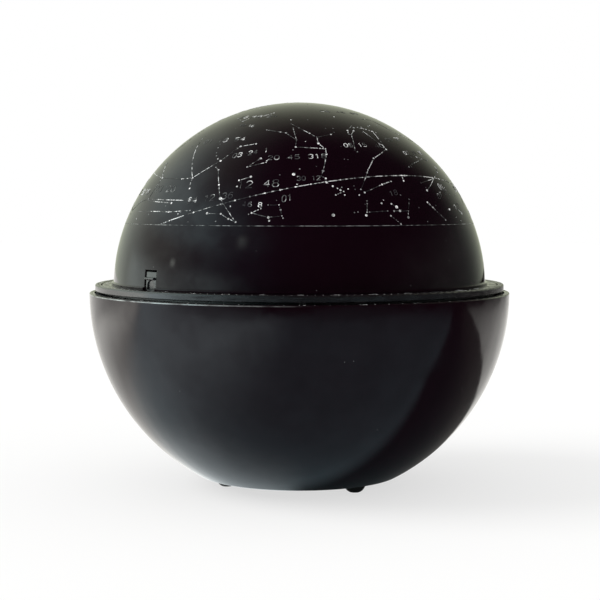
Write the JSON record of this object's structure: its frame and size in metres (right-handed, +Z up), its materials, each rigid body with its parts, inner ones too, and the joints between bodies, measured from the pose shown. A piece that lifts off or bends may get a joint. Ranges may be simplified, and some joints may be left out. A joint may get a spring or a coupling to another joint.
{
  "type": "planetarium projector",
  "caption": "Home planetarium projector: a lift-off star dome turns on a geared ring set in the rim of a hemispherical base with rubber feet.",
  "frame": {"origin": "on the table under the middle of the bowl, level with the feet", "axes": "+Z up; -Y to the front, the side that is seen; +X to the right seen from the front"},
  "size_m": [0.22, 0.22, 0.2008],
  "materials": {
    "base_shell": "high gloss moulded, polished tool",
    "dome_shell": "high gloss moulded, with a silver printed star chart",
    "trim_ring": "gloss moulded",
    "inner_moulding": "spark-eroded matt",
    "battery_moulding": "fine matt",
    "feet_rubber": "satin moulded",
    "drive_acetal": "natural acetal",
    "gearbox_moulding": "satin",
    "bright_steel": "zinc plated",
    "lamp_brass": "rolled, slightly dulled",
    "lamp_glass": "blown clear",
    "lamp_fibre": "pressed fibre",
    "tungsten": "drawn wire",
    "cell_jacket": "plain printed film"
  },
  "bodies": {
    "base": {"bowl": "base_shell", "foot_right": "feet_rubber", "foot_left": "feet_rubber", "foot_back": "feet_rubber", "battery_box": "battery_moulding", "battery_cell_1": "cell_jacket", "battery_cell_2": "cell_jacket", "battery_cell_3": "cell_jacket", "battery_springs": "bright_steel", "battery_contacts": "bright_steel", "battery_box_screws": "bright_steel", "switch_plate": "inner_moulding", "switch_body": "battery_moulding", "switch_screws": "bright_steel", "deck": "inner_moulding", "deck_screws": "bright_steel", "gearbox_case": "gearbox_moulding", "gearbox_screws": "bright_steel", "motor_can": "bright_steel", "motor_end_cap": "battery_moulding", "inner_cover": "inner_moulding", "cover_screws": "bright_steel", "roller_axles": "bright_steel", "lamp_post": "inner_moulding", "lamp_screws": "bright_steel", "lamp_socket": "lamp_brass", "lamp_insulator": "lamp_fibre", "lamp_contact": "lamp_brass", "lamp_cap": "lamp_brass", "lamp_glass": "lamp_glass", "lamp_filament": "tungsten"},
    "turntable": {"turntable": "inner_moulding", "date_ring": "trim_ring"},
    "dome": {"star_dome": "dome_shell"},
    "catch": {"dome_catch": "trim_ring"},
    "drive": {"drive_pinion": "drive_acetal", "drive_shaft": "bright_steel"},
    "roller_front": {"roller_front": "drive_acetal"},
    "roller_left": {"roller_left": "drive_acetal"},
    "roller_right": {"roller_right": "drive_acetal"},
    "switch": {"switch_slider": "trim_ring"},
    "door": {"battery_door": "base_shell"}
  },
  "joints": [
    {"name": "turntable_spin", "type": "hinge", "parent": "base", "child": "turntable", "pos_m": [0, 0, 0.1], "axis": [0, 0, 1], "continuous": true},
    {"name": "dome_lift", "type": "slide", "parent": "turntable", "child": "dome", "axis": [0, 0, 1], "range_m": [0, 0.06]},
    {"name": "catch_press", "type": "slide", "parent": "turntable", "child": "catch", "axis": [0.7455, 0.6665, 0], "range_m": [0, 0.0012], "stiffness_N_per_m": 400},
    {"name": "pinion_spin", "type": "hinge", "parent": "base", "child": "drive", "pos_m": [0.072, 0, 0.099], "axis": [0, 0, 1], "continuous": true},
    {"name": "roller_front_spin", "type": "hinge", "parent": "base", "child": "roller_front", "pos_m": [0, -0.093, 0.09596], "axis": [0, -1, 0], "continuous": true},
    {"name": "roller_left_spin", "type": "hinge", "parent": "base", "child": "roller_left", "pos_m": [-0.08054, 0.0465, 0.09596], "axis": [-0.866, 0.5, 0], "continuous": true},
    {"name": "roller_right_spin", "type": "hinge", "parent": "base", "child": "roller_right", "pos_m": [0.08054, 0.0465, 0.09596], "axis": [0.866, 0.5, 0], "continuous": true},
    {"name": "switch_slide", "type": "slide", "parent": "base", "child": "switch", "axis": [-1, 0, 0], "range_m": [0, 0.006]},
    {"name": "door_hinge", "type": "hinge", "parent": "base", "child": "door", "pos_m": [-0.02869, -0.00823, 0.00605], "axis": [-0.2756, 0.9613, 0], "range_deg": [0, 95]}
  ],
  "couplings": [
    {"joint": "pinion_spin", "follows": "turntable_spin", "ratio": 7},
    {"joint": "roller_front_spin", "follows": "turntable_spin", "ratio": -20.667},
    {"joint": "roller_left_spin", "follows": "turntable_spin", "ratio": -20.667},
    {"joint": "roller_right_spin", "follows": "turntable_spin", "ratio": -20.667}
  ]
}
